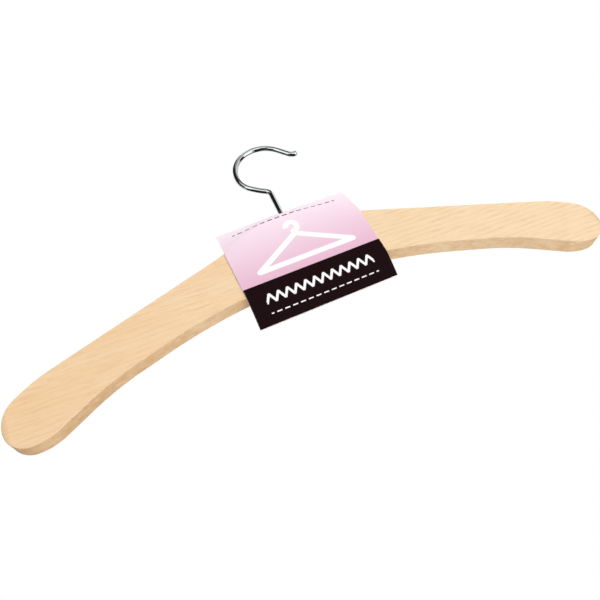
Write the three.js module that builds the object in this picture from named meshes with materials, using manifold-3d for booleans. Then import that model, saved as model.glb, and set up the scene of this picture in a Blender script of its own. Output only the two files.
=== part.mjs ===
// A wooden clothes hanger: a flat body cut from one beech board, a plated wire hook that turns in it,
// and a folded card sleeve over the middle.
// Millimetres. +X runs from tip to tip, +Z is up and the front faces -Y.
// The origin is where the rail bears in the hook, straight above the shank.
import * as THREE from "three";
import { mergeVertices } from "three/addons/utils/BufferGeometryUtils.js";
import Module from "manifold-3d";

// Wooden body, with drops measured down from its crest
const span = 440;
const bodyThickness = 14.2;
const edgeRound = 1;
const centreDepth = 53.8;
const crestHalfWidth = 10.5;
const crestRadius = 50;
const neckReach = 60;
const neckDrop = 19.3;
const neckRadius = 150;
const shoulderInset = 21.7;
const shoulderDrop = 64.3;
const shoulderRadius = 112;
const tipTopDrop = 78.4;
const tipTopRadius = 20.4;
const tipFootDrop = 105.9;
const tipFootRadius = 15;
const tipSoleLength = 24.6;
const tipSoleRadius = 37;
const waistReach = 151.2;
const waistDrop = 82.4;
const waistRadius = 190;
const archReach = 57.4;
const archRadius = 382;

// Wire hook, with rises measured up from the crest and angles in degrees from level
const wireDiameter = 4;
const loopInnerRadius = 22;
const loopOffset = 4.8;
const loopRise = 52.3;
const neckRise = 30.3;
const neckBendRadius = 5;
const runAngle = 36;
const heelRadius = 15.7;
const tipFallAngle = 45;
const tipRun = 12.5;
const flareRadius = 6;
const flareAngle = 4;
const flareRun = 3.4;
const headDiameter = 7.4;
const headThickness = 1.8;
const headDome = 0.7;

// Washer under the riveted head
const washerDiameter = 9;
const washerThickness = 1;

// Card sleeve, folded over the crest
const cardWidth = 107.6;
const backInset = 3.4;
const cardThickness = 0.5;
const foldRise = 6.8;
const foldSag = 1.3;
const foldRadius = 1.2;
const cardDrop = 78.7;
const cardShift = -1;
const cardTilt = 2.6;
const hemGap = 0.6;
const leanPower = 1.2;

// Clearances
const boreClearance = 0.3;
const washerClearance = 0.4;
const headSeatGap = 0.3;
const counterboreDepth = 7;
const cardGap = 0.3;
const cardHoleClearance = 1.2;

// Fineness of the round stretches
const arcSegments = 5;
const edgeSegments = 3;
const wireSides = 12;
const wireSteps = 110;
const roundSides = 32;
const cardColumns = 14;
const leanRows = 6;
const foldRows = 6;
const weldDistance = 1e-4;
const shortestEdge = 0.05;
const arcFit = 0.999;

const wireRadius = wireDiameter / 2;
const halfThickness = bodyThickness / 2;
const loopRadius = loopInnerRadius + wireRadius;
const seatRise = loopRise + Math.sqrt(loopInnerRadius ** 2 - loopOffset ** 2);
const crestZ = -seatRise;
const degrees = THREE.MathUtils.degToRad;

const wasm = await Module();
wasm.setup();

// A closed geometry as a solid that can be cut and joined
function solidOf(geometry) {
  const bare = geometry.clone();
  bare.deleteAttribute("normal");
  bare.deleteAttribute("uv");
  const merged = mergeVertices(bare, weldDistance);
  return new wasm.Manifold(new wasm.Mesh({
    numProp: 3,
    vertProperties: new Float32Array(merged.attributes.position.array),
    triVerts: new Uint32Array(merged.index.array),
  }));
}

function geometryOf(solid) {
  const mesh = solid.getMesh();
  const geometry = new THREE.BufferGeometry();
  geometry.setAttribute("position", new THREE.BufferAttribute(new Float32Array(mesh.vertProperties), 3));
  geometry.setIndex(new THREE.BufferAttribute(new Uint32Array(mesh.triVerts), 1));
  geometry.computeVertexNormals();
  return geometry;
}

// A cylinder round the shank's axis, between two heights
function uprightCylinder(radius, bottom, top) {
  const cylinder = new THREE.CylinderGeometry(radius, radius, top - bottom, roundSides);
  cylinder.rotateX(Math.PI / 2);
  cylinder.translate(0, 0, (top + bottom) / 2);
  return cylinder;
}

// How far along its sides each corner's arc reaches, cut down where two arcs would meet on one side
function cornerReaches(spots, radii, turns) {
  const reaches = radii.map((radius, i) => radius * Math.tan(turns[i] / 2));
  const allowed = reaches.slice();
  for (let i = 0; i < spots.length - 1; i += 1) {
    const side = spots[i].distanceTo(spots[i + 1]);
    const wanted = reaches[i] + reaches[i + 1];
    const share = wanted > side ? (side / wanted) * arcFit : 1;
    allowed[i] = Math.min(allowed[i], reaches[i] * share);
    allowed[i + 1] = Math.min(allowed[i + 1], reaches[i + 1] * share);
  }
  return allowed;
}

// Lines through the corners [x, z, radius], with each corner turned by a tangent arc of its radius
function throughCorners(path, corners) {
  const spots = corners.map(([x, z]) => new THREE.Vector2(x, z));
  const ways = spots.slice(1).map((spot, i) => spot.clone().sub(spots[i]).normalize());
  const turns = spots.map((_, i) => (ways[i - 1] && ways[i] ? ways[i - 1].angleTo(ways[i]) : 0));
  const reaches = cornerReaches(spots, corners.map(([, , radius]) => radius ?? 0), turns);
  path.moveTo(spots[0].x, spots[0].y);
  for (let i = 1; i < spots.length - 1; i += 1) {
    const start = spots[i].clone().addScaledVector(ways[i - 1], -reaches[i]);
    const leftTurn = ways[i - 1].cross(ways[i]) > 0;
    const side = leftTurn ? 1 : -1;
    const radius = reaches[i] / Math.tan(turns[i] / 2);
    const centre = new THREE.Vector2(-ways[i - 1].y, ways[i - 1].x).multiplyScalar(side * radius).add(start);
    const from = Math.atan2(start.y - centre.y, start.x - centre.x);
    path.lineTo(start.x, start.y);
    path.absarc(centre.x, centre.y, radius, from, from + side * turns[i], !leftTurn);
  }
  const last = spots[spots.length - 1];
  path.lineTo(last.x, last.y);
  return path;
}

// A flat path stood up in the XZ plane
class UprightCurve extends THREE.Curve {
  constructor(path) {
    super();
    this.path = path;
  }

  getPoint(t, target = new THREE.Vector3()) {
    const point = this.path.getPoint(t);
    return target.set(point.x, 0, point.y);
  }
}

// Wooden body: one board, sawn to a smooth boomerang, with every long edge rounded over
function bodyCorners() {
  const tip = span / 2;
  return [
    [crestHalfWidth, 0, crestRadius],
    [neckReach, -neckDrop, neckRadius],
    [tip - shoulderInset, -shoulderDrop, shoulderRadius],
    [tip, -tipTopDrop, tipTopRadius],
    [tip, -tipFootDrop, tipFootRadius],
    [tip - tipSoleLength, -tipFootDrop, tipSoleRadius],
    [waistReach, -waistDrop, waistRadius],
    [archReach, -centreDepth, archRadius],
  ];
}

function bodyOutline() {
  const right = bodyCorners();
  const left = right.map(([x, z, radius]) => [-x, z, radius]).reverse();
  const path = throughCorners(new THREE.Path(), [[0, 0], ...right, ...left, [0, 0]]);
  const [first, ...others] = path.getPoints(arcSegments);
  const outline = [first];
  for (const point of others) {
    if (Math.min(point.distanceTo(outline.at(-1)), point.distanceTo(first)) > shortestEdge) {
      outline.push(point);
    }
  }
  return outline;
}

function woodenBody() {
  const board = new THREE.ExtrudeGeometry(new THREE.Shape(bodyOutline()), {
    depth: bodyThickness - 2 * edgeRound,
    bevelThickness: edgeRound,
    bevelSize: edgeRound,
    bevelOffset: -edgeRound,
    bevelSegments: edgeSegments,
  });
  board.rotateX(Math.PI / 2);
  board.translate(0, halfThickness - edgeRound, 0);
  const bore = uprightCylinder(wireRadius + boreClearance, -centreDepth - 1, 1);
  const counterboreRadius = washerDiameter / 2 + washerClearance;
  const counterbore = uprightCylinder(counterboreRadius, -centreDepth - 1, counterboreDepth - centreDepth);
  return geometryOf(solidOf(board).subtract(solidOf(bore)).subtract(solidOf(counterbore)));
}

// Wire hook: shank, neck bend, heel, open loop and a tip that turns out, with a riveted head at the foot
function hookPath(footZ) {
  const left = loopOffset - loopRadius;
  const top = loopRise + loopRadius;
  const fall = degrees(tipFallAngle);
  const flare = degrees(flareAngle);
  const fallStart = loopOffset + loopRadius * Math.tan(fall / 2);
  const fallLength = loopRadius * Math.tan(fall / 2) + tipRun;
  const flareX = fallStart + fallLength * Math.cos(fall);
  const flareZ = top - fallLength * Math.sin(fall);
  return throughCorners(new THREE.Path(), [
    [0, footZ],
    [0, neckRise, neckBendRadius],
    [left, neckRise - left * Math.tan(degrees(runAngle)), heelRadius],
    [left, top, loopRadius],
    [fallStart, top, loopRadius],
    [flareX, flareZ, flareRadius],
    [flareX + flareRun * Math.cos(flare), flareZ + flareRun * Math.sin(flare)],
  ]);
}

function wireHook(headTop) {
  const headBottom = headTop - headThickness;
  const curve = new UprightCurve(hookPath(headTop - headThickness / 2));
  const section = new THREE.Shape();
  section.absarc(0, 0, wireRadius, 0, 2 * Math.PI);
  const wire = new THREE.ExtrudeGeometry(section, {
    steps: wireSteps,
    curveSegments: wireSides / 2,
    extrudePath: curve,
  });
  const tip = curve.getPoint(1);
  const end = new THREE.SphereGeometry(wireRadius, wireSides, wireSides / 2);
  end.translate(tip.x, tip.y, tip.z);
  const headRadius = headDiameter / 2;
  const head = new THREE.LatheGeometry([
    new THREE.Vector2(0, headBottom),
    new THREE.Vector2(headRadius / 2, headBottom + headDome / 4),
    new THREE.Vector2(headRadius, headBottom + headDome),
    new THREE.Vector2(headRadius, headTop),
    new THREE.Vector2(0, headTop),
  ], roundSides);
  head.rotateX(Math.PI / 2);
  return geometryOf(solidOf(wire).add(solidOf(end)).add(solidOf(head)));
}

// Washer between the riveted head and the roof of the counterbore
function hookWasher(top) {
  const bottom = top - washerThickness;
  const inner = wireRadius + boreClearance;
  const outer = washerDiameter / 2;
  const ring = new THREE.LatheGeometry([
    new THREE.Vector2(inner, bottom),
    new THREE.Vector2(outer, bottom),
    new THREE.Vector2(outer, top),
    new THREE.Vector2(inner, top),
    new THREE.Vector2(inner, bottom),
  ], roundSides);
  ring.rotateX(Math.PI / 2);
  return ring;
}

// Heights at which the wood's outline crosses x, lowest first
function woodEdges(x, outline) {
  const heights = [];
  for (let i = 0; i < outline.length - 1; i += 1) {
    const [from, to] = [outline[i], outline[i + 1]];
    if ((from.x - x) * (to.x - x) < 0) {
      heights.push(THREE.MathUtils.mapLinear(x, from.x, to.x, from.y, to.y));
    }
  }
  return heights.sort((low, high) => low - high);
}

// Half of the card's section at x, from the fold's inside down to the hem: [depth in front of the middle, z]
function panelSection(x, outline) {
  const half = cardWidth / 2;
  const face = halfThickness + cardGap;
  const tiltShift = -x * Math.sin(degrees(cardTilt));
  const towardsEnd = (x / half) ** 2;
  const leave = woodEdges(half, outline).at(-1) * towardsEnd + tiltShift;
  const foot = woodEdges(x + cardShift, outline)[0] + tiltShift;
  const foldCentre = foldRise - foldSag * towardsEnd - foldRadius;
  const points = [];
  for (let i = 0; i < foldRows; i += 1) {
    const turn = (i / foldRows) * (Math.PI / 2);
    points.push([foldRadius * Math.sin(turn), foldCentre + foldRadius * Math.cos(turn)]);
  }
  for (let i = 0; i <= leanRows; i += 1) {
    const lean = i / leanRows;
    const depth = face - (face - foldRadius) * (1 - lean) ** leanPower;
    points.push([depth, foldCentre + (leave - foldCentre) * lean]);
  }
  for (let i = 0; i <= leanRows; i += 1) {
    const lean = i / leanRows;
    const depth = face - (face - hemGap / 2) * lean ** leanPower;
    points.push([depth, foot + (-cardDrop - foot) * lean]);
  }
  return points;
}

// The whole section from the front hem over the fold to the back hem, as inside and outside points
function cardSection(x, outline) {
  const half = panelSection(x, outline);
  const front = half.slice().reverse().map(([depth, z]) => new THREE.Vector2(-depth, z));
  const back = half.slice(1).map(([depth, z]) => new THREE.Vector2(depth, z));
  const inside = [...front, ...back];
  const outside = inside.map((point, i) => {
    const before = inside[Math.max(i - 1, 0)];
    const after = inside[Math.min(i + 1, inside.length - 1)];
    const way = after.clone().sub(before).normalize();
    return new THREE.Vector2(-way.y, way.x).multiplyScalar(cardThickness).add(point);
  });
  return [inside, outside];
}

// Card sleeve: one sheet folded over the crest, clear of both faces, with its hems drawn together below
// and its back panel drawn in so that it hides behind the front
function cardSleeve() {
  const outline = bodyOutline();
  const positions = [];
  const index = [];
  const rows = cardSection(0, outline)[0].length;
  const backTaper = backInset / (cardWidth / 2) / halfThickness;
  for (let column = 0; column <= cardColumns; column += 1) {
    const x = (column / cardColumns - 0.5) * cardWidth;
    for (const side of cardSection(x, outline)) {
      side.forEach((point) => {
        positions.push(x * (1 - backTaper * Math.max(point.x, 0)), point.x, point.y - foldRise);
      });
    }
  }
  const corner = (column, side, row) => (column * 2 + side) * rows + row;
  const quad = (a, b, c, d) => index.push(a, b, c, a, c, d);
  for (let column = 0; column < cardColumns; column += 1) {
    const next = column + 1;
    for (let row = 0; row < rows - 1; row += 1) {
      quad(corner(column, 0, row), corner(column, 0, row + 1), corner(next, 0, row + 1), corner(next, 0, row));
      quad(corner(column, 1, row), corner(next, 1, row), corner(next, 1, row + 1), corner(column, 1, row + 1));
    }
    const last = rows - 1;
    quad(corner(column, 0, 0), corner(next, 0, 0), corner(next, 1, 0), corner(column, 1, 0));
    quad(corner(column, 0, last), corner(column, 1, last), corner(next, 1, last), corner(next, 0, last));
  }
  for (let row = 0; row < rows - 1; row += 1) {
    const end = cardColumns;
    quad(corner(0, 0, row), corner(0, 1, row), corner(0, 1, row + 1), corner(0, 0, row + 1));
    quad(corner(end, 0, row), corner(end, 0, row + 1), corner(end, 1, row + 1), corner(end, 1, row));
  }
  const sheet = new THREE.BufferGeometry();
  sheet.setAttribute("position", new THREE.Float32BufferAttribute(positions, 3));
  sheet.setIndex(index);
  const hole = uprightCylinder(wireRadius + cardHoleClearance, -foldRise, foldRise);
  hole.translate(-cardShift, 0, 0);
  return geometryOf(solidOf(sheet).subtract(solidOf(hole)));
}

function piece(name, geometry, colour, roughness, metalness) {
  const mesh = new THREE.Mesh(geometry, new THREE.MeshStandardMaterial({ color: colour, roughness, metalness }));
  mesh.name = name;
  return mesh;
}

const counterboreRoof = counterboreDepth - centreDepth;
const washerTop = counterboreRoof - headSeatGap;
const headTop = washerTop - washerThickness - headSeatGap;

const hanger = new THREE.Group();
hanger.position.z = crestZ;
hanger.add(piece("wooden_body", woodenBody(), 0xe3c395, 0.55, 0));
hanger.add(piece("wire_hook", wireHook(headTop), 0xc9cdcc, 0.12, 1));
hanger.add(piece("hook_washer", hookWasher(washerTop), 0xb4b6b8, 0.35, 1));

const card = piece("card_sleeve", cardSleeve(), 0xe9bdd2, 0.45, 0);
card.position.set(cardShift, 0, foldRise);
card.rotation.y = -degrees(cardTilt);
hanger.add(card);

const part = new THREE.Group();
part.add(hanger);

export default part;
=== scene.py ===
import math
import bpy
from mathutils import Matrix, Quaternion, Vector


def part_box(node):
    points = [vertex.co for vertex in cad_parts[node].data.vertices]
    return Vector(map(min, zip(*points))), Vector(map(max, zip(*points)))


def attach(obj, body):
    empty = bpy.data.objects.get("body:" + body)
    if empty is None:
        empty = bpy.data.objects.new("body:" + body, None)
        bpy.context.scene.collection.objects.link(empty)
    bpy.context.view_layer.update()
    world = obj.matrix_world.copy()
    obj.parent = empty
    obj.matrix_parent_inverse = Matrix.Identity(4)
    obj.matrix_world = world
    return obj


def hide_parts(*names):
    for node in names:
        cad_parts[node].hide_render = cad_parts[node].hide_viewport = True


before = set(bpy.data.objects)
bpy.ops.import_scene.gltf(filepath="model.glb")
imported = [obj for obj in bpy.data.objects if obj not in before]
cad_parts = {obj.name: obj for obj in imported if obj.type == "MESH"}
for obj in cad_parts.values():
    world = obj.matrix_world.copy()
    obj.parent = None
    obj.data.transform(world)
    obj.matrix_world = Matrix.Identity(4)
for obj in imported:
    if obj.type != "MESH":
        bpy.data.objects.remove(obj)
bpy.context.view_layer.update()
mm = 0.001
evenly = (1.0, 1.0, 1.0)  # the stretch of a noise that runs the same way all round
scene = bpy.context.scene
scene.view_settings.view_transform = "Standard"
boardLow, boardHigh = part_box("wooden_body")
crestZ = boardHigh.z
print("frame loaded:", ", ".join(sorted(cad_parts)))


def srgb(red, green, blue):
    # a colour as an eyedropper shows it, turned into linear light
    shares = [value / 255 for value in (red, green, blue)]
    return tuple(s / 12.92 if s < 0.04045 else ((s + 0.055) / 1.055) ** 2.4 for s in shares) + (1.0,)


def linked(name, data):
    thing = bpy.data.objects.new(name, data)
    scene.collection.objects.link(thing)
    return thing


# the hanger lies on its back in the photo, so seen hanging the camera is low in front and looks up
cameraSettings = {
    "lens": 36.0,
    "sensor": 36.0,
    "place": Vector((-0.10876, -0.36106, -0.33569)),
    "aim": Vector((-0.01656, 0.0, -0.14276)),
    "roll": -26.11,
}


def makeCamera(settings):
    data = bpy.data.cameras.new("photoCamera")
    data.lens = settings["lens"]
    data.sensor_width = settings["sensor"]
    camera = linked("photoCamera", data)
    look = (settings["aim"] - settings["place"]).to_track_quat("-Z", "Y")
    camera.rotation_mode = "QUATERNION"
    camera.rotation_quaternion = look @ Quaternion((0, 0, 1), math.radians(settings["roll"]))
    camera.location = settings["place"]
    scene.camera = camera


makeCamera(cameraSettings)
print("camera placed")


# node helpers: an input is a plain value or another node's socket
def addNode(tree, kind, inputs=None, **settings):
    node = tree.nodes.new(kind)
    for name, value in settings.items():
        setattr(node, name, value)
    for name, value in (inputs or {}).items():
        if isinstance(value, bpy.types.NodeSocket):
            tree.links.new(value, node.inputs[name])
        else:
            node.inputs[name].default_value = value
    return node


def maths(tree, operation, *values, clamp=False):
    inputs = dict(enumerate(values))
    return addNode(tree, "ShaderNodeMath", inputs, operation=operation, use_clamp=clamp).outputs[0]


def vectorMaths(tree, operation, *values, output="Vector"):
    inputs = dict(enumerate(values))
    return addNode(tree, "ShaderNodeVectorMath", inputs, operation=operation).outputs[output]


def ramp(tree, value, low, high, lowTo=0.0, highTo=1.0):
    inputs = {"Value": value, "From Min": low, "From Max": high, "To Min": lowTo, "To Max": highTo}
    return addNode(tree, "ShaderNodeMapRange", inputs).outputs["Result"]


def mixColour(tree, share, first, second, mode="MIX"):
    inputs = {0: share, 6: first, 7: second}
    return addNode(tree, "ShaderNodeMix", inputs, data_type="RGBA", blend_type=mode).outputs[2]


def noise(tree, place, stretch, scale, detail=2.0, roughness=0.5):
    spread = vectorMaths(tree, "MULTIPLY", place, stretch)
    inputs = {"Vector": spread, "Scale": scale, "Detail": detail, "Roughness": roughness}
    return addNode(tree, "ShaderNodeTexNoise", inputs).outputs["Fac"]


def newMaterial(name):
    material = bpy.data.materials.new(name)
    material.use_nodes = True
    tree = material.node_tree
    return material, tree, tree.nodes["Principled BSDF"]


def ownPlace(tree):
    return addNode(tree, "ShaderNodeTexCoord").outputs["Object"]


def meshMark(tree, name):
    return addNode(tree, "ShaderNodeAttribute", attribute_name=name).outputs["Fac"]


def addBump(tree, shader, height, depth, strength=1.0):
    inputs = {"Height": height, "Distance": depth, "Strength": strength}
    tree.links.new(addNode(tree, "ShaderNodeBump", inputs).outputs["Normal"], shader.inputs["Normal"])


def gridFaces(rows, columns, closed):
    # quads between rows of points, each row closed into a ring or left open
    reach = columns if closed else columns - 1
    return [(r * columns + c, r * columns + (c + 1) % columns,
             (r + 1) * columns + (c + 1) % columns, (r + 1) * columns + c)
            for r in range(rows - 1) for c in range(reach)]


# white studio: the room lights softly from all round, with softboxes high and low in front and one behind
studioSettings = {
    "roomLight": 0.46,
    "roomMirrored": 0.92,
    "floorHeight": -1.6,
    "floorSize": 16.0,
    "floorColour": (0.88, 0.88, 0.88, 1.0),
    "floorLift": 0.64,
    "softboxes": {
        "keySoftbox": {"place": Vector((0.9, -1.5, 1.5)), "size": 1.6, "power": 37.5},
        "fillSoftbox": {"place": Vector((0.1, -0.5, -0.97)), "size": 0.9, "power": 4.6},
        "backSoftbox": {"place": Vector((-0.6, 1.8, 0.6)), "size": 1.6, "power": 24.0},
    },
    "lightAim": Vector((0.0, 0.0, -0.1)),
    "flagRadius": 1.5,
    "flagStep": 0.01,
    "flagCell": 7,
    "flagCentre": Vector((0.0, 0.0, -0.035)),
    "cloths": {"black": 0.005, "dark": 0.02, "grey": 0.45, "pale": 0.68, "white": 1.05, "bright": 1.3},
    "flags": {
        "paleFlag": {"round": (-10, 54), "above": (10, 74), "cloth": "pale"},
        "underFlag": {"round": (280, 466), "above": (-84, -26), "cloth": "black"},
        "tableFlag": {"round": (70, 270), "above": (-70, -50), "cloth": "grey"},
        "rimFlag": {"round": (200, 288), "above": (-60, -4), "cloth": "black"},
        "wallFlag": {"round": (90, 296), "above": (-16, 54), "cloth": "dark"},
        "postFlag": {"round": (46, 74), "above": (-2, 58), "cloth": "black"},
        "stripFlag": {"round": (64, 80), "above": (-26, 48), "cloth": "grey"},
        "barFlag": {"round": (72, 102), "above": (44, 90), "cloth": "black"},
        "ceilingFlag": {"round": (102, 242), "above": (54, 80), "cloth": "white"},
        "gapFlag": {"round": (188, 212), "above": (30, 82), "cloth": "bright"},
        "cameraFlag": {"round": (236, 276), "above": (36, 74), "cloth": "black"},
        "farFlag": {"round": (96, 120), "above": (-26, 50), "cloth": "black"},
        "cornerFlag": {"round": (322, 354), "above": (-26, 34), "cloth": "dark"},
        "windowFlag": {"round": (296, 332), "above": (-20, 88), "cloth": "bright"},
    },
}


def seenRays(tree):
    # 1 for what the camera sees and 1 for what a mirror or glass sees, 0 for what only lights
    path = addNode(tree, "ShaderNodeLightPath")
    mirrored = maths(tree, "MAXIMUM", path.outputs["Is Glossy Ray"], path.outputs["Is Transmission Ray"])
    return path.outputs["Is Camera Ray"], mirrored


def makeRoom(settings):
    world = bpy.data.worlds.new("whiteRoom")
    world.use_nodes = True
    scene.world = world
    tree = world.node_tree
    tree.nodes.clear()
    lit = settings["roomLight"]
    camera, mirrored = seenRays(tree)
    strength = ramp(tree, camera, 0, 1, lit, 1.0)
    strength = maths(tree, "MULTIPLY_ADD", mirrored, settings["roomMirrored"] - lit, strength)
    white = addNode(tree, "ShaderNodeBackground", {"Color": (1, 1, 1, 1), "Strength": strength})
    addNode(tree, "ShaderNodeOutputWorld", {"Surface": white.outputs[0]})


def makeFloor(settings):
    half = settings["floorSize"] / 2
    height = settings["floorHeight"]
    mesh = bpy.data.meshes.new("floor")
    corners = [(x, y, height) for x, y in ((-half, -half), (half, -half), (half, half), (-half, half))]
    mesh.from_pydata(corners, [], [(0, 1, 2, 3)])
    material = bpy.data.materials.new("paleFloor")
    material.use_nodes = True
    tree = material.node_tree
    tree.nodes.clear()
    paint = addNode(tree, "ShaderNodeBsdfDiffuse", {"Color": settings["floorColour"]})
    lift = maths(tree, "MULTIPLY", maths(tree, "MAXIMUM", *seenRays(tree)), settings["floorLift"])
    glow = addNode(tree, "ShaderNodeEmission", {"Color": (1, 1, 1, 1), "Strength": lift})
    both = addNode(tree, "ShaderNodeAddShader", {0: paint.outputs[0], 1: glow.outputs[0]})
    addNode(tree, "ShaderNodeOutputMaterial", {"Surface": both.outputs[0]})
    mesh.materials.append(material)
    linked("floor", mesh)


def makeSoftbox(name, settings, softbox):
    data = bpy.data.lights.new(name, "AREA")
    data.shape = "SQUARE"
    data.size = softbox["size"]
    data.energy = softbox["power"]
    lamp = linked(name, data)
    lamp.visible_glossy = False
    lamp.location = softbox["place"]
    lamp.rotation_mode = "QUATERNION"
    lamp.rotation_quaternion = (settings["lightAim"] - softbox["place"]).to_track_quat("-Z", "Y")


def makeFlag(name, settings, flag, radius):
    # cloth or paper hung round the set, seen only in reflections
    firstTurn, lastTurn = flag["round"]
    firstRise, lastRise = flag["above"]
    columns = math.ceil((lastTurn - firstTurn) / settings["flagCell"]) + 1
    rows = math.ceil((lastRise - firstRise) / settings["flagCell"]) + 1
    corners = []
    for r in range(rows):
        rise = math.radians(firstRise + (lastRise - firstRise) * r / (rows - 1))
        level = math.cos(rise)
        for c in range(columns):
            turn = math.radians(firstTurn + (lastTurn - firstTurn) * c / (columns - 1))
            way = Vector((math.cos(turn) * level, -math.sin(rise), math.sin(turn) * level))
            corners.append(settings["flagCentre"] + radius * way)
    mesh = bpy.data.meshes.new(name)
    mesh.from_pydata(corners, [], gridFaces(rows, columns, False))
    material = bpy.data.materials.new(name)
    material.use_nodes = True
    tree = material.node_tree
    tree.nodes.clear()
    shade = settings["cloths"][flag["cloth"]]
    cloth = addNode(tree, "ShaderNodeEmission", {"Color": (1, 1, 1, 1), "Strength": shade})
    addNode(tree, "ShaderNodeOutputMaterial", {"Surface": cloth.outputs[0]})
    mesh.materials.append(material)
    sheet = linked(name, mesh)
    sheet.visible_camera = False
    sheet.visible_diffuse = False
    sheet.visible_transmission = False
    sheet.visible_shadow = False


makeRoom(studioSettings)
makeFloor(studioSettings)
for softboxName, softbox in studioSettings["softboxes"].items():
    makeSoftbox(softboxName, studioSettings, softbox)
for i, (flagName, flag) in enumerate(studioSettings["flags"].items()):
    # each one hangs a little in front of the one before
    flagRadius = studioSettings["flagRadius"] - studioSettings["flagStep"] * i
    makeFlag(flagName, studioSettings, flag, flagRadius)
print("studio ready")


# shape helpers
def roundCorners(corners):
    # straight runs and tangent arcs through corners of (x, z, radius), as pieces to walk along
    spots = [Vector((x, z)) for x, z, _ in corners]
    ways = [(b - a).normalized() for a, b in zip(spots, spots[1:])]
    runs = []
    start = spots[0]
    for i in range(1, len(spots) - 1):
        before, after = ways[i - 1], ways[i]
        radius = corners[i][2]
        turn = before.angle_signed(after) * -1
        reach = radius * math.tan(abs(turn) / 2)
        arcStart = spots[i] - before * reach
        runs.append({"length": (arcStart - start).length, "from": start, "way": before, "bend": 0.0})
        if turn:
            bend = math.copysign(1 / radius, turn)
            runs.append({"length": abs(turn) * radius, "from": arcStart, "way": before, "bend": bend})
        start = spots[i] + after * reach
    runs.append({"length": (spots[-1] - start).length, "from": start, "way": ways[-1], "bend": 0.0})
    return [run for run in runs if run["length"] > 1e-6]


def onRun(run, distance):
    side = Vector((-run["way"].y, run["way"].x))
    if not run["bend"]:
        return run["from"] + run["way"] * distance, run["way"]
    angle = run["bend"] * distance
    place = run["from"] + (run["way"] * math.sin(angle) + side * (1 - math.cos(angle))) / run["bend"]
    return place, run["way"] * math.cos(angle) + side * math.sin(angle)


def walkAlong(runs, step):
    # (place, way, distance walked), with a point at every joint of the runs
    walked = 0.0
    points = []
    for run in runs:
        count = max(1, math.ceil(run["length"] / step))
        for i in range(count):
            distance = run["length"] * i / count
            points.append((*onRun(run, distance), walked + distance))
        walked += run["length"]
    points.append((*onRun(runs[-1], runs[-1]["length"]), walked))
    return points


def meshObject(name, points, faces):
    mesh = bpy.data.meshes.new(name)
    mesh.from_pydata(points, [], faces)
    mesh.validate()
    return linked(name, mesh)


def smoothed(piece, sharpAngle):
    piece.data.shade_smooth()
    piece.data.set_sharp_from_angle(angle=math.radians(sharpAngle))
    piece.modifiers.new("flatFaces", "WEIGHTED_NORMAL").keep_sharp = True


def turned(name, profile, sides):
    # a turned solid on the shank's axis, from (radius, z) pairs that start and end on the axis
    points = [(0, 0, profile[0][1])]
    for radius, z in profile[1:-1]:
        for i in range(sides):
            angle = 2 * math.pi * i / sides
            points.append((radius * math.cos(angle), radius * math.sin(angle), z))
    top = len(points)
    points.append((0, 0, profile[-1][1]))
    rows = len(profile) - 2
    faces = [tuple(1 + corner for corner in face) for face in gridFaces(rows, sides, True)]
    for i in range(sides):
        following = (i + 1) % sides
        faces.append((0, 1 + following, 1 + i))
        faces.append((top, top - sides + i, top - sides + following))
    return meshObject(name, points, faces)


def cutAway(piece, cutter):
    modifier = piece.modifiers.new("cut", "BOOLEAN")
    modifier.object = cutter
    modifier.operation = "DIFFERENCE"
    modifier.solver = "EXACT"
    shown = piece.evaluated_get(bpy.context.evaluated_depsgraph_get())
    cutMesh = bpy.data.meshes.new_from_object(shown)
    piece.modifiers.clear()
    piece.data = cutMesh
    bpy.data.objects.remove(cutter)


# wooden board, sawn from one plank, with heights measured from its crest
boardSettings = {
    "tip": boardHigh.x,
    "thickness": boardHigh.y - boardLow.y,
    "edgeRound": 0.6 * mm,
    "edgeWander": 0.14,
    "sandingWaves": ((31, 1.0, 0.0), (73, 0.6, 1.3), (141, 0.4, 0.4)),  # radians per metre, share, start
    "tipShade": 26 * mm,
    "centreDepth": 53.8 * mm,
    "crest": (10.5 * mm, 50 * mm),
    "neck": (60 * mm, -19.3 * mm, 150 * mm),
    "shoulder": (21.7 * mm, -64.3 * mm, 112 * mm),
    "tipTop": (-78.4 * mm, 20.4 * mm),
    "tipFoot": (-105.9 * mm, 15 * mm),
    "tipSole": (24.6 * mm, 37 * mm),
    "waist": (151.2 * mm, -82.4 * mm, 190 * mm),
    "arch": (57.4 * mm, 382 * mm),
    "boreRadius": 2.3 * mm,
    "counterboreRadius": 4.9 * mm,
    "counterboreDepth": 7 * mm,
    "boreOverrun": 5 * mm,
    "sharpAngle": 40,
    "step": 1.8 * mm,
    "edgeRows": 6,
    "boreSides": 48,
}


def boardOutline(board):
    tip = board["tip"]
    shoulder, sole = board["shoulder"], board["tipSole"]
    right = [
        (board["crest"][0], 0.0, board["crest"][1]),
        board["neck"],
        (tip - shoulder[0], *shoulder[1:]),
        (tip, *board["tipTop"]),
        (tip, *board["tipFoot"]),
        (tip - sole[0], board["tipFoot"][0], sole[1]),
        board["waist"],
        (board["arch"][0], -board["centreDepth"], board["arch"][1]),
    ]
    left = [(-x, z, radius) for x, z, radius in reversed(right)]
    return walkAlong(roundCorners([(0, 0, 0), *right, *left, (0, 0, 0)]), board["step"])[:-1]


def sanded(board, walked):
    # hand sanding rounds the edge a little more here and less there
    wander = sum(share * math.sin(walked * rate + start) for rate, share, start in board["sandingWaves"])
    return board["edgeRound"] * (1 + board["edgeWander"] * wander / 2)


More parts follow.
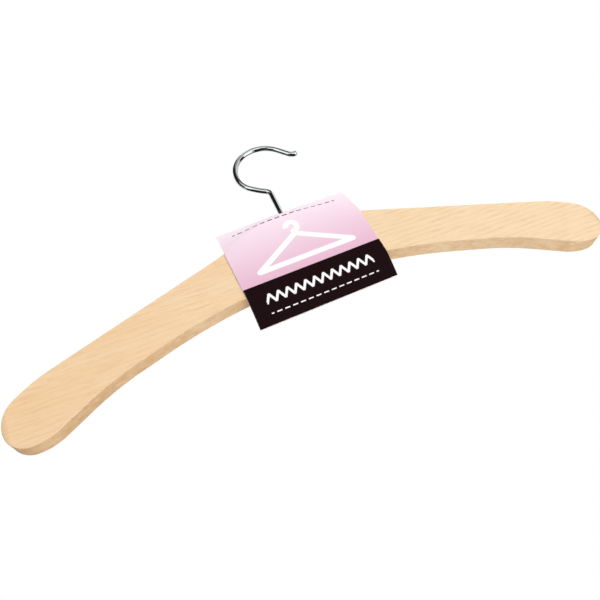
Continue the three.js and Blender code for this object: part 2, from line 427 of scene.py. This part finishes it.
def makeBoard(board, outline):
    half = board["thickness"] / 2
    stations = []
    for i in range(board["edgeRows"] + 1):
        angle = math.pi / 2 * i / board["edgeRows"]
        stations.append((1 - math.sin(angle), 1 - math.cos(angle)))
    rings = [(inset, sink, -1) for inset, sink in stations]
    rings += [(inset, sink, 1) for inset, sink in reversed(stations)]
    points = []
    for inset, sink, side in rings:
        for place, way, walked in outline:
            radius = sanded(board, walked)
            inward = Vector((way.y, -way.x))
            spot = place + inward * inset * radius
            points.append((spot.x, side * (half - sink * radius), crestZ + spot.y))
    count = len(outline)
    faces = gridFaces(len(rings), count, True)
    faces.append(tuple(reversed(range(count))))
    faces.append(tuple(range(len(points) - count, len(points))))
    piece = meshObject("beech_board", points, faces)
    bottom = crestZ - board["centreDepth"]
    roof = bottom + board["counterboreDepth"]
    below, above = bottom - board["boreOverrun"], crestZ + board["boreOverrun"]
    bore = [(0, below), (board["counterboreRadius"], below), (board["counterboreRadius"], roof),
            (board["boreRadius"], roof), (board["boreRadius"], above), (0, above)]
    cutAway(piece, turned("boreCutter", bore, board["boreSides"]))
    markBoard(piece.data, board)
    smoothed(piece, board["sharpAngle"])
    return piece


def markBoard(mesh, board):
    # the rub mark is 1 in the middle of a rounded edge, for sanding wear with a painted highlight; sawnEdge
    # is 1 on the sawn sides;
    # the end mark rises to 1 on the sawn sides of the tips, for darker end grain with painted shade
    half = board["thickness"] / 2
    rubAndHighlight = mesh.attributes.new("edgeRubAndHighlight", "FLOAT", "POINT")
    sawn = mesh.attributes.new("sawnEdge", "FLOAT", "POINT")
    shadedEnds = mesh.attributes.new("endGrainAndTipShade", "FLOAT", "POINT")
    for i, vertex in enumerate(mesh.vertices):
        share = min((half - abs(vertex.co.y)) / board["edgeRound"], 1.0)
        # towards the tips the sawn sides are given painted shade as well as darker end grain
        nearTip = (abs(vertex.co.x) - board["tip"] + board["tipShade"]) / board["tipShade"]
        rubAndHighlight.data[i].value = math.sin(math.pi * share)
        sawn.data[i].value = share
        shadedEnds.data[i].value = share * max(vertex.normal.x ** 2, nearTip)


# pale beech: rings tilted through the plank, soft streaks, short ray flecks and fine fibres along x, with a
# painted sheen that pales the wood towards the right, a painted highlight on the rounded edges and painted
# shade at the tips
beechSettings = {
    "pale": srgb(247, 216, 177),
    "warm": srgb(243, 206, 160),
    "paintedSheen": srgb(244, 219, 181),
    "ring": srgb(224, 178, 128),
    "fleck": srgb(196, 146, 100),
    "rubAndHighlightTone": srgb(251, 228, 194),
    "sawnPale": srgb(251, 247, 241),
    "sawnDark": srgb(236, 223, 209),
    "endGrainAndShade": srgb(172, 144, 98),
    "ringWidth": 2.1 * mm,
    "ringLean": 58,
    "ringDrift": 9 * mm,
    "ringSharpness": 2.2,
    "leftToRightReach": 120 * mm,
    "tipFaceShadeReach": 4.5 * mm,
    # shares of a tone at the left end and at the right end
    "ringShare": (0.24, 0.38),
    "rubAndHighlightShare": (0.25, 0.6),
    "endGrainAndShadeShare": (0.55, 0.1),
    # shares that are the same all along
    "paintedSheenShare": 0.8,
    "sawnRingShare": 0.2,
    "streakShare": 0.44,
    "fleckShare": 0.14,
    "fibreShare": 0.12,
    "tipFaceShadeShare": 0.34,
    "roughness": (0.46, 0.66),
    "gloss": 0.35,
    "fleckSink": 0.6,
    "poreDepth": 0.05 * mm,
    "poreStrength": 0.5,
    # stretch, scale, detail and roughness of each noise
    "driftNoise": ((0.1, 0.6, 1.0), 22, 2.0),
    "cloudNoise": ((0.16, 1.0, 1.0), 42, 3.0, 0.55),
    "streakNoise": ((0.08, 1.0, 1.0), 720, 3.0, 0.6),
    "fibreNoise": ((0.03, 1.0, 1.0), 2600, 2.0, 0.6),
    "fleckNoise": ((0.14, 0.8, 1.0), 1700, 1.0, 0.4),
    "patchNoise": ((0.7, 1.0, 1.0), 190, 3.0, 0.65),
    # the noise values between which a tone sets in
    "cloudRange": (0.32, 0.7),
    "breakRange": (0.3, 0.7),
    "breakShare": (0.1, 1.0),
    "streakRange": (0.48, 0.78),
    "fleckRange": (0.66, 0.74),
    "fibreRange": (0.4, 0.8),
    "patchRange": (0.36, 0.66),
    "roughRange": (0.25, 0.8),
}


def beechMaterial(beech):
    material, tree, shader = newMaterial("paleBeech")
    place = ownPlace(tree)
    sawn = meshMark(tree, "sawnEdge")
    lean = math.radians(beech["ringLean"])
    drift = noise(tree, place, *beech["driftNoise"])
    ringWay = (0.0, math.sin(lean), math.cos(lean))
    across = vectorMaths(tree, "DOT_PRODUCT", place, ringWay, output="Value")
    drifted = maths(tree, "MULTIPLY_ADD", drift, beech["ringDrift"], across)
    turns = maths(tree, "MULTIPLY", drifted, 2 * math.pi / beech["ringWidth"])
    wave = ramp(tree, maths(tree, "SINE", turns), -1, 1)
    ringLine = maths(tree, "POWER", wave, beech["ringSharpness"])
    cloud = noise(tree, place, *beech["cloudNoise"])
    streak = noise(tree, place, *beech["streakNoise"])
    fibre = noise(tree, place, *beech["fibreNoise"])
    fleck = ramp(tree, noise(tree, place, *beech["fleckNoise"]), *beech["fleckRange"])
    along = vectorMaths(tree, "DOT_PRODUCT", place, (1.0, 0.0, 0.0), output="Value")
    leftToRight = ramp(tree, along, -beech["leftToRightReach"], beech["leftToRightReach"])
    tone = mixColour(tree, ramp(tree, cloud, *beech["cloudRange"]), beech["pale"], beech["warm"])
    # painted sheen: the wood is made paler towards the right, as a sheen of light would make it
    tone = mixColour(tree, maths(tree, "MULTIPLY", leftToRight, beech["paintedSheenShare"]), tone, beech["paintedSheen"])
    # rings are calm on the left face, clearer on the right and clearest on the sawn edges
    clear = ramp(tree, leftToRight, 0, 1, *beech["ringShare"])
    clear = maths(tree, "MULTIPLY_ADD", sawn, beech["sawnRingShare"], clear)
    breaks = ramp(tree, streak, *beech["breakRange"], *beech["breakShare"])
    broken = maths(tree, "MULTIPLY", ringLine, breaks)
    tone = mixColour(tree, maths(tree, "MULTIPLY", broken, clear), tone, beech["ring"])
    streaks = ramp(tree, streak, *beech["streakRange"], 0.0, beech["streakShare"])
    tone = mixColour(tree, streaks, tone, beech["ring"])
    tone = mixColour(tree, maths(tree, "MULTIPLY", fleck, beech["fleckShare"]), tone, beech["fleck"])
    fibres = ramp(tree, fibre, *beech["fibreRange"], 0.0, beech["fibreShare"])
    tone = mixColour(tree, fibres, tone, beech["fleck"])
    patch = noise(tree, place, *beech["patchNoise"])
    sawnTone = mixColour(tree, ramp(tree, patch, *beech["patchRange"]), beech["sawnPale"], beech["sawnDark"])
    tone = mixColour(tree, sawn, tone, sawnTone, "MULTIPLY")
    # painted highlight: the middle of each rounded edge is made paler, more on the right, over light sanding
    # wear
    rubAndHighlightShare = ramp(tree, leftToRight, 0, 1, *beech["rubAndHighlightShare"])
    rubAndHighlight = maths(tree, "MULTIPLY", meshMark(tree, "edgeRubAndHighlight"), rubAndHighlightShare)
    tone = mixColour(tree, rubAndHighlight, tone, beech["rubAndHighlightTone"])
    # painted shade: the sawn ends and the sides near the tips are darkened, far more on the left than on the
    # right, over darker end grain
    endGrainAndShadeShare = ramp(tree, leftToRight, 0, 1, *beech["endGrainAndShadeShare"])
    shadedEnds = maths(tree, "MULTIPLY", meshMark(tree, "endGrainAndTipShade"), endGrainAndShadeShare, clamp=True)
    # painted shade: everything within a few millimetres of each tip is darkened
    tipAway = maths(tree, "SUBTRACT", boardSettings["tip"], maths(tree, "ABSOLUTE", along))
    tipFaceShade = ramp(tree, tipAway, beech["tipFaceShadeReach"], 0.0, 0.0, beech["tipFaceShadeShare"])
    tone = mixColour(tree, maths(tree, "MAXIMUM", shadedEnds, tipFaceShade), tone, beech["endGrainAndShade"])
    tree.links.new(tone, shader.inputs["Base Color"])
    roughness = ramp(tree, fibre, *beech["roughRange"], *beech["roughness"])
    tree.links.new(roughness, shader.inputs["Roughness"])
    shader.inputs["Specular IOR Level"].default_value = beech["gloss"]
    height = maths(tree, "SUBTRACT", fibre, maths(tree, "MULTIPLY", fleck, beech["fleckSink"]))
    addBump(tree, shader, height, beech["poreDepth"], beech["poreStrength"])
    return material


outline = boardOutline(boardSettings)
board = makeBoard(boardSettings, outline)
board.data.materials.clear()
board.data.materials.append(beechMaterial(beechSettings))
board.visible_glossy = False  # kept out of reflections, so that the chrome stays bright
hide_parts("wooden_body")
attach(board, "hanger")
print("board:", len(board.data.vertices), "points")


# wire hook, bent from one length of chromed wire, with rises measured from the crest
hookSettings = {
    "wireRadius": 2.0 * mm,
    "loopRadius": 24 * mm,
    "loopOffset": 4.8 * mm,
    "loopRise": 52.3 * mm,
    "neckRise": 30.3 * mm,
    "neckBend": 5 * mm,
    "runAngle": 36,
    "runBow": 1.2 * mm,
    "bowShare": 0.42,
    "bowRadius": 60 * mm,
    "heelRadius": 15.7 * mm,
    "tipFall": 45,
    "tipRun": 12.5 * mm,
    "flareRadius": 6 * mm,
    "flareAngle": 4,
    "flareRun": 3.4 * mm,
    "headRadius": 3.7 * mm,
    "headThickness": 1.8 * mm,
    "headDome": 0.7 * mm,
    "headEdge": 0.25 * mm,
    "headEdgeCut": 0.07 * mm,
    "seatGap": 0.3 * mm,
    "sharpAngle": 50,
    "step": 0.7 * mm,
    "sides": 32,
    "domeRows": 7,
}


def hookCorners(hook, foot):
    left = hook["loopOffset"] - hook["loopRadius"]
    top = hook["loopRise"] + hook["loopRadius"]
    fall, flare = math.radians(hook["tipFall"]), math.radians(hook["flareAngle"])
    cut = hook["loopRadius"] * math.tan(fall / 2)
    fallX = hook["loopOffset"] + cut
    flareX = fallX + (cut + hook["tipRun"]) * math.cos(fall)
    flareZ = top - (cut + hook["tipRun"]) * math.sin(fall)
    heelZ = hook["neckRise"] - left * math.tan(math.radians(hook["runAngle"]))
    endX = flareX + hook["flareRun"] * math.cos(flare)
    endZ = flareZ + hook["flareRun"] * math.sin(flare)
    # the run from the neck to the heel bows out a little, as hand-bent wire does
    run = Vector((left, heelZ - hook["neckRise"]))
    bowed = run * hook["bowShare"] + Vector((-run.y, run.x)).normalized() * hook["runBow"]
    return [(0, foot, 0), (0, hook["neckRise"], hook["neckBend"]),
            (bowed.x, hook["neckRise"] + bowed.y, hook["bowRadius"]), (left, heelZ, hook["heelRadius"]),
            (left, top, hook["loopRadius"]), (fallX, top, hook["loopRadius"]),
            (flareX, flareZ, hook["flareRadius"]), (endX, endZ, 0)]


def hookStations(hook, headTop):
    # (place, way, radius, walked) from the pole of the riveted head to the pole of the round tip
    up = Vector((0, 1))
    headBottom = headTop - hook["headThickness"]
    wire, head = hook["wireRadius"], hook["headRadius"]
    stations = []
    for i in range(hook["domeRows"]):
        share = i / (hook["domeRows"] - 1)
        stations.append((headBottom + hook["headDome"] * share ** 2, head * share))
    edge, cut = hook["headEdge"], hook["headEdgeCut"]
    stations.append((headTop - edge, head))
    stations.append((headTop - cut, head - cut))
    stations.append((headTop, head - edge))
    stations.append((headTop, wire))
    rings = [(Vector((0, z)), up, radius, z - headTop) for z, radius in stations]
    for place, way, walked in walkAlong(roundCorners(hookCorners(hook, headTop)), hook["step"])[1:]:
        rings.append((place, way, wire, walked))
    end, way, _, walked = rings[-1]
    for i in range(1, hook["domeRows"] + 1):
        angle = math.pi / 2 * i / hook["domeRows"]
        place = end + way * wire * math.sin(angle)
        rings.append((place, way, wire * math.cos(angle), walked + wire * math.sin(angle)))
    return rings


def makeHook(hook, headTop):
    sides = hook["sides"]
    rings = hookStations(hook, headTop)
    points = []
    around = []
    for place, way, radius, walked in rings[1:-1]:
        for i in range(sides):
            angle = 2 * math.pi * i / sides
            out = Vector((way.y, -way.x)) * math.cos(angle) * radius
            points.append((place.x + out.x, radius * math.sin(angle), crestZ + place.y + out.y))
            around.append((math.cos(angle), math.sin(angle), walked))
    faces = gridFaces(len(rings) - 2, sides, True)
    for ring, first, turn in ((rings[0], 0, -1), (rings[-1], len(points) - sides, 1)):
        pole = len(points)
        points.append((ring[0].x, 0, crestZ + ring[0].y))
        around.append((0, 0, ring[3]))
        for i in range(sides):
            pair = (first + i, first + (i + 1) % sides)
            faces.append((pole, *pair[::turn]))
    piece = meshObject("hook_wire", points, faces)
    drawn = piece.data.attributes.new("drawnWay", "FLOAT_VECTOR", "POINT")
    for i, mark in enumerate(around):
        drawn.data[i].vector = mark
    smoothed(piece, hook["sharpAngle"])
    return piece


# chrome plating: bright, with faint draw lines along the wire and a little haze from handling
chromeSettings = {
    "colour": srgb(228, 234, 232),
    "dulled": srgb(206, 214, 212),
    "dulledShare": 0.8,
    "roughness": (0.02, 0.045),
    "lineDepth": 0.01 * mm,
    "lineStrength": 0.04,
    "lineNoise": ((6.0, 6.0, 14.0), 4.0, 3.0, 0.6),
    "hazeNoise": (evenly, 160, 3.0, 0.55),
    "dulledRange": (0.45, 0.8),
    "roughRange": (0.4, 0.85),
}


def chromeMaterial(chrome):
    material, tree, shader = newMaterial("chromePlating")
    drawn = addNode(tree, "ShaderNodeAttribute", attribute_name="drawnWay").outputs["Vector"]
    lines = noise(tree, drawn, *chrome["lineNoise"])
    haze = noise(tree, ownPlace(tree), *chrome["hazeNoise"])
    dulled = ramp(tree, haze, *chrome["dulledRange"], 0.0, chrome["dulledShare"])
    tone = mixColour(tree, dulled, chrome["colour"], chrome["dulled"])
    tree.links.new(tone, shader.inputs["Base Color"])
    shader.inputs["Metallic"].default_value = 1.0
    roughness = ramp(tree, haze, *chrome["roughRange"], *chrome["roughness"])
    tree.links.new(roughness, shader.inputs["Roughness"])
    addBump(tree, shader, lines, chrome["lineDepth"], chrome["lineStrength"])
    return material


washerLow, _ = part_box("hook_washer")
headTop = washerLow.z - hookSettings["seatGap"] - crestZ
hook = makeHook(hookSettings, headTop)
hook.data.materials.append(chromeMaterial(chromeSettings))
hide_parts("wire_hook")
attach(hook, "hook")
print("hook:", len(hook.data.vertices), "points")


# washer between the riveted head and the roof of its counterbore
washerSettings = {
    "colour": srgb(186, 189, 192),
    "dark": srgb(150, 152, 156),
    "turning": 0.35 * mm,
    "roughness": (0.28, 0.46),
    "grooveDepth": 0.01 * mm,
    "grooveStrength": 0.4,
    "patinaNoise": (evenly, 700, 3.0),
    "darkRange": (0.35, 0.75),
    "roughRange": (0.3, 0.8),
}


def washerMaterial(washer):
    material, tree, shader = newMaterial("turnedSteel")
    place = ownPlace(tree)
    flat = vectorMaths(tree, "MULTIPLY", place, (1.0, 1.0, 0.0))
    distance = vectorMaths(tree, "LENGTH", flat, output="Value")
    turns = maths(tree, "MULTIPLY", distance, 2 * math.pi / washer["turning"])
    grooves = maths(tree, "SINE", turns)
    patina = noise(tree, place, *washer["patinaNoise"])
    tone = mixColour(tree, ramp(tree, patina, *washer["darkRange"]), washer["colour"], washer["dark"])
    tree.links.new(tone, shader.inputs["Base Color"])
    shader.inputs["Metallic"].default_value = 1.0
    roughness = ramp(tree, patina, *washer["roughRange"], *washer["roughness"])
    tree.links.new(roughness, shader.inputs["Roughness"])
    addBump(tree, shader, grooves, washer["grooveDepth"], washer["grooveStrength"])
    return material


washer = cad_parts["hook_washer"]
washer.data.materials.clear()
washer.data.materials.append(washerMaterial(washerSettings))
print("washer finished")


# card sleeve, one printed sheet folded over the crest,
# in its own frame with the top of the fold at the origin
cardSettings = {
    "width": 107.6 * mm,
    "backInset": 3.4 * mm,
    "foldInset": 1.6 * mm,
    "taperDepth": 24 * mm,
    "thickness": 0.5 * mm,
    "foldRise": 6.8 * mm,
    "foldSag": 1.3 * mm,
    "foldRadius": 1.2 * mm,
    "drop": 78.7 * mm,
    "shift": -1 * mm,
    "tilt": 2.6,
    "hemGap": 0.6 * mm,
    "tentBend": 0.2,
    "leanPower": 1.2,
    "gap": 0.3 * mm,
    "holeRadius": 3.2 * mm,
    "sharpAngle": 35,
    "columns": 62,
    "foldRows": 8,
    "leanRows": 14,
    "flatRows": 8,
    "holeSides": 48,
}


def boardEdges(outline, x):
    # lowest and highest point of the board at x
    heights = []
    for (a, *_), (b, *_) in zip(outline, outline[1:] + outline[:1]):
        if (a.x - x) * (b.x - x) <= 0 and a.x != b.x:
            heights.append(a.y + (b.y - a.y) * (x - a.x) / (b.x - a.x))
    return min(heights), max(heights)


def panelSection(card, outline, x):
    # inside of one panel at x, from the fold's top down to the hem, as (depth, height over the crest)
    half = card["width"] / 2
    towardsEnd = (x / half) ** 2
    face = boardSettings["thickness"] / 2 + card["gap"]
    shift = -x * math.sin(math.radians(card["tilt"]))
    leave = boardEdges(outline, half)[1] * towardsEnd + shift
    foot = boardEdges(outline, x + card["shift"])[0] + shift
    radius = card["foldRadius"]
    centre = card["foldRise"] - card["foldSag"] * towardsEnd - radius
    # the sheet runs straight from the round of the fold and bends softly where it meets the board
    reach = Vector((face, leave - centre))
    upright = math.pi / 2
    leaving = math.atan2(reach.y, reach.x) + math.acos(radius / reach.length)
    rows = []
    for i in range(card["foldRows"] + 1):
        turn = upright + (leaving - upright) * i / card["foldRows"]
        rows.append((radius * math.cos(turn), centre + radius * math.sin(turn)))
    startDepth, startZ = rows[-1]
    bend = card["tentBend"]
    for i in range(1, card["leanRows"] + 1):
        lean = (1 + bend) * i / card["leanRows"]
        short = 1 - lean if lean < 1 - bend else (1 + bend - lean) ** 2 / (4 * bend)
        rows.append((face - (face - startDepth) * short, startZ + (leave - startZ) * lean))
    tentFoot = rows[-1][1]
    for i in range(1, card["flatRows"]):
        rows.append((face, tentFoot + (foot - tentFoot) * i / card["flatRows"]))
    for i in range(card["leanRows"] + 1):
        lean = i / card["leanRows"]
        depth = face - (face - card["hemGap"] / 2) * lean ** card["leanPower"]
        rows.append((depth, foot + (-card["drop"] - foot) * lean))
    return rows


def cardSection(card, outline, x):
    # the sheet's inside and outside from the front hem over the fold to the back hem
    half = panelSection(card, outline, x)
    inner = [Vector((-depth, z)) for depth, z in reversed(half)] + [Vector(row) for row in half[1:]]
    outer = []
    for i, point in enumerate(inner):
        way = (inner[min(i + 1, len(inner) - 1)] - inner[max(i - 1, 0)]).normalized()
        outer.append(point + Vector((-way.y, way.x)) * card["thickness"])
    return inner, outer


def makeCard(card, outline):
    columns = card["columns"] + 1
    narrowing = card["backInset"] / (card["width"] / 2) / (boardSettings["thickness"] / 2)
    taper = card["foldInset"] / (card["width"] / 2)
    points = []
    for layer in range(2):
        for i in range(columns):
            x = (i / card["columns"] - 0.5) * card["width"]
            section = cardSection(card, outline, x)[layer]
            for depth, z in section:
                z -= card["foldRise"]
                drawnIn = narrowing * max(depth, 0) + taper * max(1 + z / card["taperDepth"], 0)
                points.append((x * (1 - drawnIn), depth, z))
    rows = len(section)
    count = columns * rows
    bare = gridFaces(columns, rows, False)
    printed = [tuple(count + corner for corner in reversed(face)) for face in bare]
    border = [c * rows for c in range(columns)] + [count - rows + r for r in range(1, rows)]
    border += [c * rows + rows - 1 for c in range(columns - 2, -1, -1)] + list(range(rows - 2, 0, -1))
    edges = [(a, b, b + count, a + count) for a, b in zip(border, border[1:] + border[:1])]
    piece = meshObject("card_sheet", points, bare + edges + printed)
    for polygon in piece.data.polygons:
        polygon.material_index = 1 if polygon.index >= len(bare) + len(edges) else 0
    piece.data.materials.append(rawCardMaterial(rawCardSettings))
    piece.data.materials.append(printMaterial(printSettings, card))
    rise = card["foldRise"]
    radius = card["holeRadius"]
    hole = [(0, -2 * rise), (radius, -2 * rise), (radius, rise), (0, rise)]
    cutter = turned("holeCutter", hole, card["holeSides"])
    cutter.location.x = -card["shift"]
    cutAway(piece, cutter)
    smoothed(piece, card["sharpAngle"])
    piece.location = (card["shift"], 0, crestZ + card["foldRise"])
    piece.rotation_euler = (0, -math.radians(card["tilt"]), 0)
    return piece


# the print is plain: a pink field over a dark band, with a coat hanger sign, a zigzag and rows of stitches
printSettings = {
    "pinkTop": srgb(254, 238, 248),
    "pinkLow": srgb(230, 185, 206),
    "band": srgb(25, 7, 11),
    "ink": srgb(44, 20, 28),
    "white": srgb(252, 250, 251),
    "paper": srgb(251, 250, 247),
    "bandHeight": 29.5 * mm,
    "crisp": 0.08 * mm,
    "signWidth": 74 * mm,
    "signTop": -26 * mm,
    "signFoot": -47.5 * mm,
    "signStroke": 2.1 * mm,
    "signHook": 4.2 * mm,
    "signNeck": 2.2 * mm,
    "farAway": 1.0,  # where the open quarter of the sign's ring is put, out of sight
    "stitchPitch": 6.0 * mm,
    "stitchLength": 3.8 * mm,
    "zigzagPitch": 7.0 * mm,
    "zigzagHeight": 6.0 * mm,
    "stitchReach": 42 * mm,
    "fadePower": 0.9,
    "seamHeight": -7.6 * mm,
    "seamWidth": 0.9 * mm,
    "zigzagWidth": 1.8 * mm,
    "threadWidth": 0.8 * mm,
    # how far down the band, as shares of its height
    "zigzagDrop": 0.42,
    "threadDrop": 0.76,
    "foldWear": (-0.9 * mm, 0.3 * mm),
    "rimWear": 0.6 * mm,
    "wearShare": 0.7,
    "roughness": (0.46, 0.58),
    "gloss": 0.06,
    "grainDepth": 0.02 * mm,
    "grainStrength": 0.35,
    "grainNoise": (evenly, 1400, 3.0, 0.6),
    "crackNoise": (evenly, 2200, 2.0, 0.7),
    "foldCracks": (0.5, 0.62),
    "rimCracks": (0.56, 0.64),
    "roughRange": (0.3, 0.75),
}


def inside(tree, distance, reach, crisp):
    # 1 where a distance is under reach, with a crisp printed edge
    return ramp(tree, distance, reach + crisp / 2, reach - crisp / 2)


def strokeDistance(tree, spot, start, end):
    way = Vector(end) - Vector(start)
    away = vectorMaths(tree, "SUBTRACT", spot, (*start, 0.0))
    along = vectorMaths(tree, "DOT_PRODUCT", away, (*way, 0.0), output="Value")
    share = maths(tree, "DIVIDE", along, way.length_squared, clamp=True)
    inputs = {0: (*way, 0.0), "Scale": share}
    reached = addNode(tree, "ShaderNodeVectorMath", inputs, operation="SCALE").outputs[0]
    return vectorMaths(tree, "DISTANCE", away, reached, output="Value")


def signDistance(tree, spot, ink):
    # a coat hanger in outline: two shoulders, a bar, a short neck and three quarters of a ring
    half = ink["signWidth"] / 2
    top, foot = ink["signTop"], ink["signFoot"]
    strokes = [((0, top), (half, foot)), ((0, top), (-half, foot)), ((-half, foot), (half, foot)),
               ((0, top), (0, top + ink["signNeck"]))]
    nearest = None
    for start, end in strokes:
        distance = strokeDistance(tree, spot, start, end)
        nearest = distance if nearest is None else maths(tree, "MINIMUM", nearest, distance)
    middle = (0.0, top + ink["signNeck"] + ink["signHook"], 0.0)
    away = vectorMaths(tree, "SUBTRACT", spot, middle)
    fromMiddle = vectorMaths(tree, "LENGTH", away, output="Value")
    ring = maths(tree, "ABSOLUTE", maths(tree, "SUBTRACT", fromMiddle, ink["signHook"]))
    parts = addNode(tree, "ShaderNodeSeparateXYZ", {0: away})
    openSide = maths(tree, "MULTIPLY", maths(tree, "LESS_THAN", parts.outputs[0], 0.0),
                     maths(tree, "LESS_THAN", parts.outputs[1], 0.0))
    ring = maths(tree, "MULTIPLY_ADD", openSide, ink["farAway"], ring)
    return maths(tree, "MINIMUM", nearest, ring)


def stitchRow(tree, x, z, height, width, ink):
    # a running stitch: short dashes in a row across the card
    wrapped = maths(tree, "PINGPONG", x, ink["stitchPitch"] / 2)
    dash = inside(tree, wrapped, ink["stitchLength"] / 2, ink["crisp"])
    off = maths(tree, "ABSOLUTE", maths(tree, "SUBTRACT", z, height))
    level = inside(tree, off, width / 2, ink["crisp"])
    reach = inside(tree, maths(tree, "ABSOLUTE", x), ink["stitchReach"], ink["crisp"])
    return maths(tree, "MULTIPLY", maths(tree, "MULTIPLY", dash, level), reach)


def zigzagRow(tree, x, z, height, width, ink):
    wave = maths(tree, "PINGPONG", x, ink["zigzagPitch"] / 2)
    slope = ink["zigzagHeight"] / (ink["zigzagPitch"] / 2)
    line = maths(tree, "MULTIPLY_ADD", wave, slope, height - ink["zigzagHeight"] / 2)
    off = maths(tree, "ABSOLUTE", maths(tree, "SUBTRACT", z, line))
    stroke = inside(tree, off, width / 2 * math.sqrt(1 + slope ** 2), ink["crisp"])
    # the points of the zigzag are cut off flat
    away = maths(tree, "ABSOLUTE", maths(tree, "SUBTRACT", z, height))
    kept = inside(tree, away, ink["zigzagHeight"] / 2 + width / 4, ink["crisp"])
    stroke = maths(tree, "MULTIPLY", stroke, kept)
    reach = inside(tree, maths(tree, "ABSOLUTE", x), ink["stitchReach"], ink["crisp"])
    return maths(tree, "MULTIPLY", stroke, reach)


def printMaterial(ink, card):
    material, tree, shader = newMaterial("printedCard")
    place = ownPlace(tree)
    parts = addNode(tree, "ShaderNodeSeparateXYZ", {0: place})
    x, y, z = parts.outputs[0], parts.outputs[1], parts.outputs[2]
    spot = addNode(tree, "ShaderNodeCombineXYZ", {0: x, 1: z}).outputs[0]
    front = maths(tree, "LESS_THAN", y, 0.0)
    bandTop = ink["bandHeight"] - card["drop"] - card["foldRise"]
    fade = maths(tree, "POWER", ramp(tree, z, 0.0, bandTop), ink["fadePower"])
    tone = mixColour(tree, fade, ink["pinkTop"], ink["pinkLow"])
    sign = inside(tree, signDistance(tree, spot, ink), ink["signStroke"], ink["crisp"])
    tone = mixColour(tree, maths(tree, "MULTIPLY", sign, front), tone, ink["white"])
    seam = stitchRow(tree, x, z, ink["seamHeight"], ink["seamWidth"], ink)
    tone = mixColour(tree, maths(tree, "MULTIPLY", seam, front), tone, ink["ink"])
    tone = mixColour(tree, inside(tree, z, bandTop, ink["crisp"]), tone, ink["band"])
    zigzagMiddle = bandTop - ink["bandHeight"] * ink["zigzagDrop"]
    zigzag = zigzagRow(tree, x, z, zigzagMiddle, ink["zigzagWidth"], ink)
    threadMiddle = bandTop - ink["bandHeight"] * ink["threadDrop"]
    thread = stitchRow(tree, x, z, threadMiddle, ink["threadWidth"], ink)
    sewn = maths(tree, "MAXIMUM", zigzag, thread)
    tone = mixColour(tree, maths(tree, "MULTIPLY", sewn, front), tone, ink["white"])
    # the print is cracked along the fold and at the sides
    grain = noise(tree, place, *ink["grainNoise"])
    crack = noise(tree, place, *ink["crackNoise"])
    foldCracks = ramp(tree, crack, *ink["foldCracks"])
    foldWear = maths(tree, "MULTIPLY", ramp(tree, z, *ink["foldWear"]), foldCracks)
    side = card["width"] / 2
    rim = ramp(tree, maths(tree, "ABSOLUTE", x), side - ink["rimWear"], side)
    rimWear = maths(tree, "MULTIPLY", rim, ramp(tree, crack, *ink["rimCracks"]))
    wear = maths(tree, "MAXIMUM", foldWear, rimWear)
    tone = mixColour(tree, maths(tree, "MULTIPLY", wear, ink["wearShare"]), tone, ink["paper"])
    tree.links.new(tone, shader.inputs["Base Color"])
    roughness = ramp(tree, grain, *ink["roughRange"], *ink["roughness"])
    tree.links.new(roughness, shader.inputs["Roughness"])
    shader.inputs["Specular IOR Level"].default_value = ink["gloss"]
    addBump(tree, shader, grain, ink["grainDepth"], ink["grainStrength"])
    return material


# the unprinted inside and the cut edges of the sheet
rawCardSettings = {
    "paper": printSettings["paper"],
    "shade": srgb(243, 240, 234),
    "speck": srgb(180, 168, 152),
    "speckShare": 0.3,
    "roughness": (0.78, 0.92),
    "pulpDepth": 0.04 * mm,
    "pulpStrength": 0.5,
    "pulpNoise": (evenly, 900, 4.0, 0.65),
    "speckNoise": ((1.0, 1.0, 0.3), 2600, 1.0),
    "shadeRange": (0.3, 0.75),
    "speckRange": (0.7, 0.78),
    "roughRange": (0.3, 0.8),
}


def rawCardMaterial(raw):
    material, tree, shader = newMaterial("rawCard")
    place = ownPlace(tree)
    pulp = noise(tree, place, *raw["pulpNoise"])
    speck = noise(tree, place, *raw["speckNoise"])
    specks = ramp(tree, speck, *raw["speckRange"], 0.0, raw["speckShare"])
    tone = mixColour(tree, ramp(tree, pulp, *raw["shadeRange"]), raw["paper"], raw["shade"])
    tone = mixColour(tree, specks, tone, raw["speck"])
    tree.links.new(tone, shader.inputs["Base Color"])
    roughness = ramp(tree, pulp, *raw["roughRange"], *raw["roughness"])
    tree.links.new(roughness, shader.inputs["Roughness"])
    addBump(tree, shader, pulp, raw["pulpDepth"], raw["pulpStrength"])
    return material


card = makeCard(cardSettings, outline)
card.visible_glossy = False  # kept out of reflections like the board
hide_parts("card_sleeve")
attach(card, "hanger")
print("card:", len(card.data.vertices), "points")
